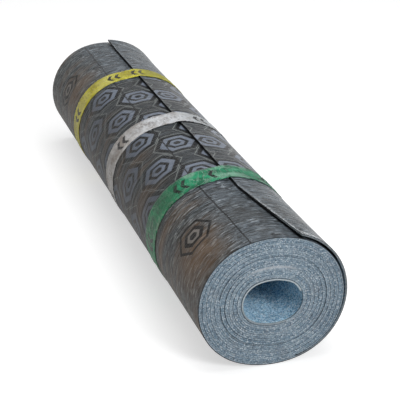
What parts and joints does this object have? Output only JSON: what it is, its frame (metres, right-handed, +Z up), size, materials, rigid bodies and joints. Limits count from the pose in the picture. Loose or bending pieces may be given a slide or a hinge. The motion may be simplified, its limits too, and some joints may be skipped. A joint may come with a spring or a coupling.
{
  "type": "roll of roofing felt",
  "caption": "Torch-on roofing felt wound into an oval-sagged roll with its mineral face inwards, a loose outer flap and plastic tapes round it.",
  "frame": {"origin": "centre of the bounding box in X and Y, on the surface the roll lies on", "axes": "+X along the roll, towards the end whose outer turn stands open; +Z up, and the free edge lies just right of the top, towards +Y"},
  "size_m": [1, 0.2232, 0.2053],
  "materials": {
    "felt": "bitumen sheet, thin glossy film outside and grey-blue mineral granules inside",
    "yellow_film": "thin wrinkled film",
    "white_film": "thin wrinkled film",
    "green_film": "thin wrinkled film"
  },
  "bodies": {
    "root": {"felt_roll": "felt", "yellow_tape": "yellow_film", "white_tape": "white_film", "green_tape": "green_film"}
  },
  "joints": []
}
